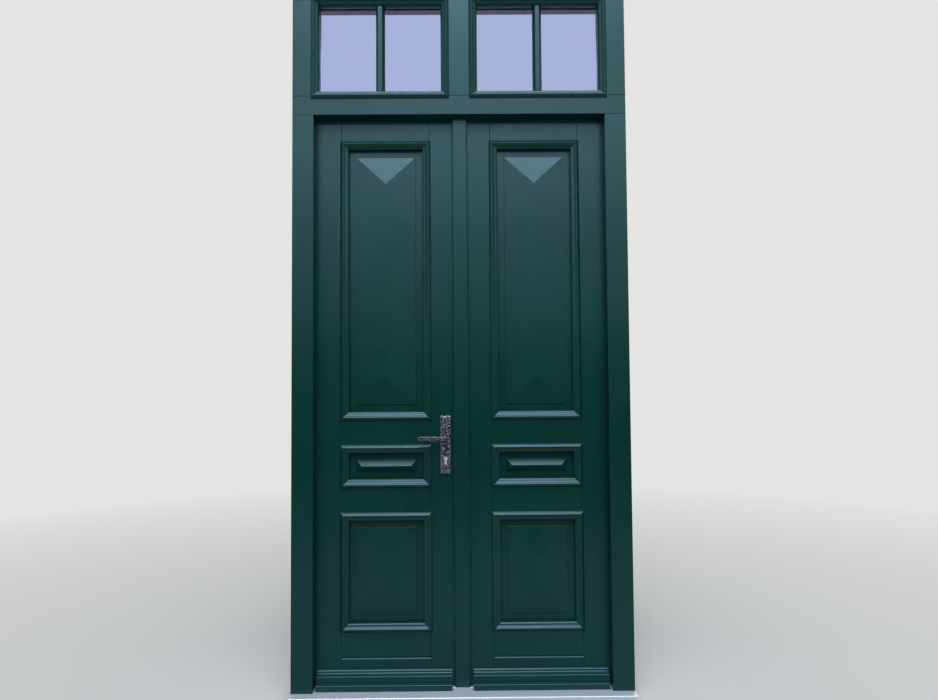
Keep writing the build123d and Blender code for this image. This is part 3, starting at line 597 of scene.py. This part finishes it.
def bolection_section(width, lap, play, depth, fall):
    """The bolection's section as offsets from its outer edge and heights, in metres."""
    unit = width / 35
    ovolo_start = (1.5 * unit, 4.0 * unit)
    ovolo_middle = (6.2 * unit, 8.9 * unit)
    crest = (12.5 * unit, 12.5 * unit)
    shoulder = (15.4 * unit, 11.0 * unit)
    cove_start = (18.0 * unit, 8.2 * unit)
    cove_middle = (22.5 * unit, 5.4 * unit)
    cove_end = (28.0 * unit, 3.2 * unit)
    bead_middle = (32.2 * unit, 1.6 * unit - 0.28 * fall)
    bead_end = (width, -fall)
    points = [(0.0, 0.0), (0.0, 2.5 * unit), ovolo_start]
    points += arc_points(ovolo_start, ovolo_middle, crest)
    points += arc_points(crest, shoulder, cove_start)
    points += arc_points(cove_start, cove_middle, cove_end)
    points += arc_points(cove_end, bead_middle, bead_end, 12)
    points += [(width, -depth), (lap + play, -depth), (lap + play, 0.0)]
    return points


def add_ring(shape, x, z, y, facing, section, line):
    """Adds four mitred lengths of a section round the rectangle of their outer edges."""
    corners = ((x[0], z[0], 1, 1), (x[1], z[0], -1, 1), (x[1], z[1], -1, -1), (x[0], z[1], 1, -1))
    for index, start in enumerate(corners):
        end = corners[(index + 1) % 4]
        along = Vector((end[0] - start[0], 0, end[1] - start[1])).normalized()
        loops = []
        for corner, shift in ((start, line / 2), (end, -line / 2)):
            loop = []
            for offset, height in section:
                point_x = corner[0] + corner[2] * offset
                point_z = corner[1] + corner[3] * offset
                point = Vector((point_x, y + facing * height, point_z))
                loop.append(shape.verts.new(point + along * shift))
            loops.append(loop)
        count = len(section)
        for step in range(count):
            after = (step + 1) % count
            shape.faces.new((loops[0][step], loops[0][after], loops[1][after], loops[1][step]))
        shape.faces.new(loops[0])
        shape.faces.new(reversed(loops[1]))


def opening_of(panel, inset):
    """The rectangle that a moulding laps over, at an inset from the edge of a panel or pane."""
    low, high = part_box(panel)
    return (low.x + inset, high.x - inset), (low.z + inset, high.z - inset)


def grown(ends, margin):
    return (ends[0] - margin, ends[1] + margin)


def add_screw(shape, place, axis, radius, stand):
    """Adds a countersunk screw head with a cross recess, which faces along an axis."""
    turn = Vector((0, 0, 1)).rotation_difference(axis).to_matrix().to_4x4()
    matrix = Matrix.Translation(place) @ turn
    arm = radius * 0.55
    half = radius * 0.13
    depth = radius * 0.35
    rim_taper = 0.94
    floor_taper = 0.8
    sides = 24
    angles = [math.tau * k / sides for k in range(sides)]
    ring = [(radius * math.cos(angle), radius * math.sin(angle)) for angle in angles]
    star = []
    for quarter in range(4):
        cosine = math.cos(math.pi / 2 * quarter)
        sine = math.sin(math.pi / 2 * quarter)
        for px, py in ((arm, -half), (arm, half), (half, half)):
            star.append((px * cosine - py * sine, px * sine + py * cosine))
    foot = [shape.verts.new(matrix @ Vector((px, py, 0))) for px, py in ring]
    rim = [shape.verts.new(matrix @ Vector((px * rim_taper, py * rim_taper, stand))) for px, py in ring]
    lip = [shape.verts.new(matrix @ Vector((px, py, stand))) for px, py in star]
    floor = []
    for px, py in star:
        place_in_recess = Vector((px * floor_taper, py * floor_taper, stand - depth))
        floor.append(shape.verts.new(matrix @ place_in_recess))
    for k in range(sides):
        after = (k + 1) % sides
        shape.faces.new((foot[k], foot[after], rim[after], rim[k]))
    for k in range(len(star)):
        after = (k + 1) % len(star)
        shape.faces.new((lip[k], lip[after], floor[after], floor[k]))
    shape.faces.new(floor)
    shape.faces.new(reversed(foot))
    edges = []
    for loop in (rim, lip):
        for k, vert in enumerate(loop):
            after = loop[(k + 1) % len(loop)]
            edges.append(shape.edges.get((vert, after)) or shape.edges.new((vert, after)))
    bmesh.ops.triangle_fill(shape, edges=edges, use_beauty=True)


def add_screws(context, name, places, axis, body):
    """One object with all the screw heads of a plate or a set of plates."""
    settings = context.scene.door_handles
    shape = bmesh.new()
    for place in places:
        add_screw(shape, Vector(place), Vector(axis), settings.screw_radius, settings.screw_stand)
    colour = context.scene.door_metal.steel
    material = metal("screw_steel", colour, roughness=0.30, scale=(900.0, 900.0, 900.0))
    return add_piece(name, shape, material, body)


# Operators

class DOOR_OT_joinery(bpy.types.Operator):
    """Paints the stiles, rails and panels and eases their edges"""
    bl_idname = "door.joinery"
    bl_label = "Leaf joinery"

    def execute(self, context):
        arris = context.scene.door_paint.arris
        upright = paint(context, "upright")
        level = paint(context, "level")
        for leaf in LEAVES:
            for rail in ("bottom_rail", "lower_lock_rail", "upper_lock_rail", "top_rail"):
                dress(f"{leaf}_{rail}", level, arris)
            dress(f"{leaf}_hinge_stile", upright, arris)
            for panel in PANELS:
                dress(f"{leaf}_{panel}", upright, arris * PANEL_EASE, PANEL_TURN)
        for name in ("active_lock_stile", "passive_meeting_stile"):
            dress(name, upright, arris)
        return {"FINISHED"}


class DOOR_OT_outer_frame(bpy.types.Operator):
    """Paints the jambs, the rails and the mullion of the outer frame"""
    bl_idname = "door.outer_frame"
    bl_label = "Outer frame"

    def execute(self, context):
        arris = context.scene.door_paint.arris
        for name in ("jamb_left", "jamb_right", "upper_jamb_left", "upper_jamb_right", "mullion"):
            dress(name, paint(context, "upright"), arris)
        for name in ("transom_rail", "head_rail"):
            dress(name, paint(context, "level"), arris)
        return {"FINISHED"}


class DOOR_OT_mouldings(bpy.types.Operator):
    """Runs the bolection mouldings with their full section round the panels and the lights"""
    bl_idname = "door.mouldings"
    bl_label = "Mouldings"

    def execute(self, context):
        settings = context.scene.door_mouldings
        arris = context.scene.door_paint.arris
        material = paint(context, "all")
        for leaf in LEAVES:
            stile_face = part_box(f"{leaf}_hinge_stile")[0].y
            panel_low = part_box(f"{leaf}_{PANELS[0]}")[0].y
            moulding_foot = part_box(f"{leaf}_mouldings")[1].y
            if not panel_low < moulding_foot:
                raise RuntimeError("the panels lie behind their mouldings")
            depth = moulding_foot - stile_face
            section = bolection_section(settings.width, settings.lap, settings.play, depth, settings.fall)
            shape = bmesh.new()
            for panel in PANELS:
                x, z = opening_of(f"{leaf}_{panel}", settings.panel_inset)
                x, z = grown(x, settings.lap), grown(z, settings.lap)
                add_ring(shape, x, z, stile_face, -1, section, settings.mitre_line)
            obj = add_piece(f"{leaf}_bolection", shape, material, BODY_OF_LEAF[leaf])
            soften(obj, arris, MOULDING_TURN)
            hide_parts(f"{leaf}_mouldings")
        light_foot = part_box("light_mouldings")[1].y
        frame_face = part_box("mullion")[0].y
        depth = light_foot - frame_face
        lap, fall = settings.light_lap, settings.light_fall
        section = bolection_section(settings.width, lap, settings.play, depth, fall)
        shape = bmesh.new()
        for pane in ("glass_left", "glass_right"):
            x, z = opening_of(pane, -settings.glass_gap)
            x, z = grown(x, lap), grown(z, lap)
            add_ring(shape, x, z, frame_face, -1, section, settings.mitre_line)
        obj = add_piece("light_bolection", shape, material, "frame")
        soften(obj, arris, MOULDING_TURN)
        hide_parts("light_mouldings")
        return {"FINISHED"}


class DOOR_OT_beads(bpy.types.Operator):
    """Paints the inside beads, the glazing bars, the weatherboards and the astragals"""
    bl_idname = "door.beads"
    bl_label = "Beads, bars and boards"

    def execute(self, context):
        arris = context.scene.door_paint.arris
        for name in ("active_beads", "passive_beads", "light_beads"):
            dress(name, paint(context, "all"), arris * BEAD_EASE)
        dress("glazing_bars", paint(context, "upright"), arris * BEAD_EASE)
        for leaf in LEAVES:
            dress(f"{leaf}_weatherboard", paint(context, "level"), arris * BOARD_EASE)
        for name in ("astragal", "inside_astragal"):
            dress(name, paint(context, "upright"), arris * ASTRAGAL_EASE)
        return {"FINISHED"}


class DOOR_OT_glazing(bpy.types.Operator):
    """Finishes the glass, its spacers and the weather seal"""
    bl_idname = "door.glazing"
    bl_label = "Glazing and seal"

    def execute(self, context):
        settings = context.scene.door_glass
        glass = finish_named("float_glass", lambda: glass_finish(settings))
        rubber = finish_named("matt_rubber", lambda: rubber_finish(settings))
        colour = context.scene.door_metal.spacer
        spacer = metal("spacer_aluminium", colour, roughness=0.36, scale=(400.0, 400.0, 400.0))
        for name in ("glass_left", "glass_right"):
            dress(name, glass, GLASS_EDGE)
        dress("glass_spacers", spacer, SPACER_EDGE)
        dress("frame_seal", rubber, SEAL_EDGE)
        return {"FINISHED"}


class DOOR_OT_threshold(bpy.types.Operator):
    """Finishes the extruded metal threshold"""
    bl_idname = "door.threshold"
    bl_label = "Threshold"

    def execute(self, context):
        # The colour's bluish cast is a painted sky reflection over the aluminium's own grey
        colour = context.scene.door_metal.threshold
        along = (6.0, 700.0, 700.0)
        material = metal("threshold_aluminium", colour, roughness=0.42, scale=along, metallic=0.45)
        dress("threshold", material, THRESHOLD_EDGE)
        return {"FINISHED"}


class DOOR_OT_handles(bpy.types.Operator):
    """Finishes the handle plates and levers as hammered cast metal"""
    bl_idname = "door.handles"
    bl_label = "Handles"

    def execute(self, context):
        plate_metal = pewter(context, "hammered_plate", roughness=0.36, painted_shade_factor=1.0)
        for name in ("outside_plate", "inside_plate"):
            dress(name, plate_metal, PLATE_EDGE)
        # Painted shade: the levers take the plates' pewter darkened to less than half, for the duller light
        # that falls on them
        lever_metal = pewter(context, "hammered_lever", roughness=0.50, painted_shade_factor=0.45)
        for name in ("outside_lever", "inside_lever"):
            dress(name, lever_metal, LEVER_EDGE)
        low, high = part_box("inside_plate")
        middle = (low.x + high.x) / 2
        inset = (high.x - low.x) / 4
        places = [(middle, high.y, z) for z in (low.z + inset, high.z - inset)]
        add_screws(context, "inside_plate_screws", places, (0, 1, 0), "active_leaf")
        return {"FINISHED"}


class DOOR_OT_lock(bpy.types.Operator):
    """Finishes the lock, its bolts and its cylinder"""
    bl_idname = "door.lock"
    bl_label = "Lock"

    def execute(self, context):
        for name in ("lock_case", "latch_bolt", "dead_bolt", "spindle", "strike_plate"):
            dress(name, lock_steel(context), LOCK_EDGE)
        colour = context.scene.door_metal.cylinder
        turned = (500.0, 30.0, 500.0)
        nickel = metal("nickel_cylinder", colour, roughness=0.28, scale=turned, metallic=0.6)
        for name in ("lock_cylinder", "cylinder_plug"):
            dress(name, nickel, CYLINDER_EDGE)
        low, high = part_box("lock_case")
        inset = context.scene.door_furniture.lock_inset
        middle_y = (low.y + high.y) / 2
        places = [(high.x, middle_y, z) for z in (low.z + inset, high.z - inset)]
        add_screws(context, "forend_screws", places, (1, 0, 0), "active_leaf")
        strike_low, strike_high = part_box("strike_plate")
        ends = (strike_low.z + inset, strike_high.z - inset)
        places = [(strike_low.x, middle_y, z) for z in ends]
        add_screws(context, "strike_screws", places, (-1, 0, 0), "frame")
        return {"FINISHED"}


class DOOR_OT_bolts(bpy.types.Operator):
    """Finishes the flush bolts, their edge plates and their keeps"""
    bl_idname = "door.bolts"
    bl_label = "Flush bolts"

    def execute(self, context):
        for name in ("flush_bolt_plates", "top_flush_bolt", "bottom_flush_bolt", "bolt_keeps"):
            dress(name, lock_steel(context), LOCK_EDGE)
        settings = context.scene.door_furniture
        low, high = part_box("flush_bolt_plates")
        keep_low, keep_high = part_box("bolt_keeps")
        middle_y = (low.y + high.y) / 2
        inset = settings.bolt_inset
        length = settings.bolt_plate
        heights = (low.z + inset, low.z + length - inset, high.z - length + inset, high.z - inset)
        places = [(low.x, middle_y, z) for z in heights]
        add_screws(context, "flush_plate_screws", places, (-1, 0, 0), "frame")
        ends = (keep_low.x + inset, keep_high.x - inset)
        foot_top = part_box("threshold")[1].z
        foot_face = keep_low.z + settings.foot_keep
        head_face = keep_high.z - settings.head_keep
        if foot_face > foot_top + KEEP_REACH:
            raise RuntimeError("the lower keep is not on the threshold")
        places = [(x, middle_y, foot_face) for x in ends]
        add_screws(context, "foot_keep_screws", places, (0, 0, 1), "frame")
        places = [(x, middle_y, head_face) for x in ends]
        add_screws(context, "head_keep_screws", places, (0, 0, -1), "frame")
        return {"FINISHED"}


class DOOR_OT_hinges(bpy.types.Operator):
    """Finishes the hinges and adds their screws"""
    bl_idname = "door.hinges"
    bl_label = "Hinges"

    def execute(self, context):
        settings = context.scene.door_furniture
        colour = context.scene.door_metal.hinge
        steel = metal("hinge_steel", colour, roughness=0.34, scale=(500.0, 500.0, 40.0))
        for name in ("frame_hinges", "active_leaf_hinges", "passive_leaf_hinges"):
            dress(name, steel, HINGE_EDGE)
        low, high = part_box("frame_hinges")
        plate_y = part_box("jamb_left")[1].y - settings.hinge_depth / 2
        first = low.z + settings.hinge_length / 2
        last = high.z - settings.hinge_length / 2
        heights = (first, (first + last) / 2, last)
        near = settings.hinge_screw_near
        far = settings.hinge_screw_far
        offsets = (-far, -near, near, far)
        stagger = settings.hinge_stagger
        thickness = settings.hinge_thickness
        rows = [(plate_y + stagger * (-1) ** k, height + offset)
                for height in heights for k, offset in enumerate(offsets)]
        sides = (
            ("left_frame_hinge_screws", low.x + thickness, 1, "frame"),
            ("right_frame_hinge_screws", high.x - thickness, -1, "frame"),
            ("active_hinge_screws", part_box("active_hinge_stile")[0].x, -1, "active_leaf"),
            ("passive_hinge_screws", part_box("passive_hinge_stile")[1].x, 1, "frame"),
        )
        for name, x, facing, body in sides:
            add_screws(context, name, [(x, y, z) for y, z in rows], (facing, 0, 0), body)
        return {"FINISHED"}


def add_lamp(context, name, place, size, power, colour):
    """A soft rectangular lamp that points at the middle of the door."""
    lamp = bpy.data.lights.new(name, "AREA")
    lamp.shape = "RECTANGLE"
    lamp.size, lamp.size_y = size
    lamp.energy = power
    lamp.color = colour
    obj = bpy.data.objects.new(name, lamp)
    low, high = (Vector(corner) for corner in BOUNDS_AT_LOAD)
    obj.location = place
    obj.rotation_euler = ((low + high) / 2 - Vector(place)).to_track_quat("-Z", "Y").to_euler()
    obj.visible_camera = False
    obj.visible_transmission = False
    context.scene.collection.objects.link(obj)


def seen_directly(tree):
    """1 for the rays that show the background: from the camera, off gloss and through glass."""
    rays = tree.nodes.new("ShaderNodeLightPath")
    seen = rays.outputs["Is Camera Ray"]
    for kind in ("Is Glossy Ray", "Is Transmission Ray"):
        either = tree.nodes.new("ShaderNodeMath")
        either.operation = "MAXIMUM"
        tree.links.new(seen, either.inputs[0])
        tree.links.new(rays.outputs[kind], either.inputs[1])
        seen = either.outputs["Value"]
    return seen


def add_sheet(context, name, corners, material):
    """A flat part of the stage."""
    shape = bmesh.new()
    shape.faces.new([shape.verts.new(corner) for corner in corners])
    mesh = bpy.data.meshes.new(name)
    shape.to_mesh(mesh)
    shape.free()
    mesh.materials.append(material)
    obj = bpy.data.objects.new(name, mesh)
    context.scene.collection.objects.link(obj)
    return obj


def add_floor(context, settings):
    """A pale floor that takes the shadow and fades into the background farther out."""
    finish = Finish("pale_floor", settings.floor, 0.85)
    nodes, tree = finish.tree.nodes, finish.tree
    grain = finish.spread(finish.noise((60.0, 60.0, 60.0), 4.0), 0.0, 1.0)
    colour = finish.blend(grain, shade(settings.floor, 0.99), shade(settings.floor, 1.01))
    finish.link(colour, finish.shader.inputs["Base Color"])
    glow = nodes.new("ShaderNodeEmission")
    glow.inputs["Color"].default_value = (*settings.background, 1.0)
    distance = nodes.new("ShaderNodeVectorMath")
    distance.operation = "LENGTH"
    finish.link(finish.place, distance.inputs[0])
    fade_start = 1.2
    fade_end = 6.0
    far = finish.ranged(distance.outputs["Value"], fade_start, fade_end, settings.floor_glow, 1.0)
    seen = nodes.new("ShaderNodeMath")
    seen.operation = "MULTIPLY"
    finish.link(far, seen.inputs[0])
    finish.link(seen_directly(tree), seen.inputs[1])
    mix = nodes.new("ShaderNodeMixShader")
    finish.link(seen.outputs["Value"], mix.inputs["Fac"])
    finish.link(finish.shader.outputs["BSDF"], mix.inputs[1])
    finish.link(glow.outputs["Emission"], mix.inputs[2])
    finish.link(mix.outputs["Shader"], nodes["Material Output"].inputs["Surface"])
    half = 60.0
    corners = [(x * half, y * half, 0) for x, y in ((-1, -1), (1, -1), (1, 1), (-1, 1))]
    add_sheet(context, "floor", corners, finish.material)


def add_card(context, settings):
    """A dark card that only reflections show, which the satin paint mirrors low down."""
    finish = Finish("dark_card", (0.03, 0.03, 0.03), 0.9)
    left, right = -settings.card_width / 2, settings.card_width / 2
    y, top = -settings.card_distance, settings.card_height
    corners = [(left, y, 0), (right, y, 0), (right, y, top), (left, y, top)]
    card = add_sheet(context, "dark_card", corners, finish.material)
    card.visible_camera = False
    card.visible_diffuse = False
    card.visible_transmission = False
    card.visible_shadow = False


def add_world(context, settings):
    """Soft light from all around, and a plain pale background."""
    world = bpy.data.worlds.new("studio")
    world.use_nodes = True
    context.scene.world = world
    nodes, links = world.node_tree.nodes, world.node_tree.links
    around = nodes["Background"]
    around.inputs["Color"].default_value = (*settings.ambient, 1.0)
    plain = nodes.new("ShaderNodeBackground")
    plain.inputs["Color"].default_value = (*settings.background, 1.0)
    mix = nodes.new("ShaderNodeMixShader")
    links.new(seen_directly(world.node_tree), mix.inputs["Fac"])
    links.new(around.outputs["Background"], mix.inputs[1])
    links.new(plain.outputs["Background"], mix.inputs[2])
    links.new(mix.outputs["Shader"], nodes["World Output"].inputs["Surface"])


def add_camera(context, settings):
    """The camera of the photograph, from its place, lens and the way that it was held."""
    camera = bpy.data.cameras.new("photo_camera")
    camera.sensor_fit = "HORIZONTAL"
    camera.sensor_width = SENSOR_WIDTH
    camera.lens = settings.lens
    view = bpy.data.objects.new("photo_camera", camera)
    context.scene.collection.objects.link(view)
    yaw, pitch, roll = settings.yaw, settings.pitch, settings.roll
    forward = Vector((math.sin(yaw) * math.cos(pitch), math.cos(yaw) * math.cos(pitch), math.sin(pitch)))
    level = Vector((math.cos(yaw), -math.sin(yaw), 0))
    upright = level.cross(forward)
    right = math.cos(roll) * level + math.sin(roll) * upright
    up = -math.sin(roll) * level + math.cos(roll) * upright
    turn = Matrix((right, up, -forward)).transposed().to_4x4()
    view.matrix_world = Matrix.Translation(settings.camera_place) @ turn
    context.scene.camera = view


class DOOR_OT_stage(bpy.types.Operator):
    """Sets up the floor, the lamps, the world and the camera"""
    bl_idname = "door.stage"
    bl_label = "Stage"

    def execute(self, context):
        settings = context.scene.door_stage
        add_floor(context, settings)
        add_card(context, settings)
        add_world(context, settings)
        for lamp in ("key", "high", "low", "back"):
            place = getattr(settings, f"{lamp}_place")
            size = getattr(settings, f"{lamp}_size")
            power = getattr(settings, f"{lamp}_power")
            add_lamp(context, f"{lamp}_lamp", place, size, power, settings.lamp_colour)
        add_camera(context, settings)
        context.scene.view_settings.view_transform = "Standard"
        return {"FINISHED"}


OPERATORS = (
    DOOR_OT_joinery,
    DOOR_OT_outer_frame,
    DOOR_OT_mouldings,
    DOOR_OT_beads,
    DOOR_OT_glazing,
    DOOR_OT_threshold,
    DOOR_OT_handles,
    DOOR_OT_lock,
    DOOR_OT_bolts,
    DOOR_OT_hinges,
    DOOR_OT_stage,
)


class DOOR_PT_panel(bpy.types.Panel):
    """Lists the steps that finish the door"""
    bl_idname = "DOOR_PT_panel"
    bl_label = "Double front door"
    bl_space_type = "VIEW_3D"
    bl_region_type = "UI"
    bl_category = "Door"

    def draw(self, context):
        for operator in OPERATORS:
            self.layout.operator(operator.bl_idname)


def register():
    for settings in SETTINGS.values():
        bpy.utils.register_class(settings)
    for name, settings in SETTINGS.items():
        setattr(bpy.types.Scene, name, PointerProperty(type=settings))
    for operator in OPERATORS:
        bpy.utils.register_class(operator)
    bpy.utils.register_class(DOOR_PT_panel)


def unregister():
    bpy.utils.unregister_class(DOOR_PT_panel)
    for operator in reversed(OPERATORS):
        bpy.utils.unregister_class(operator)
    for name in SETTINGS:
        delattr(bpy.types.Scene, name)
    for settings in reversed(list(SETTINGS.values())):
        bpy.utils.unregister_class(settings)


def main():
    """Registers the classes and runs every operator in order."""
    register()
    bpy.ops.door.joinery()
    bpy.ops.door.outer_frame()
    bpy.ops.door.mouldings()
    bpy.ops.door.beads()
    bpy.ops.door.glazing()
    bpy.ops.door.threshold()
    bpy.ops.door.handles()
    bpy.ops.door.lock()
    bpy.ops.door.bolts()
    bpy.ops.door.hinges()
    bpy.ops.door.stage()


if __name__ == "__main__":
    main()
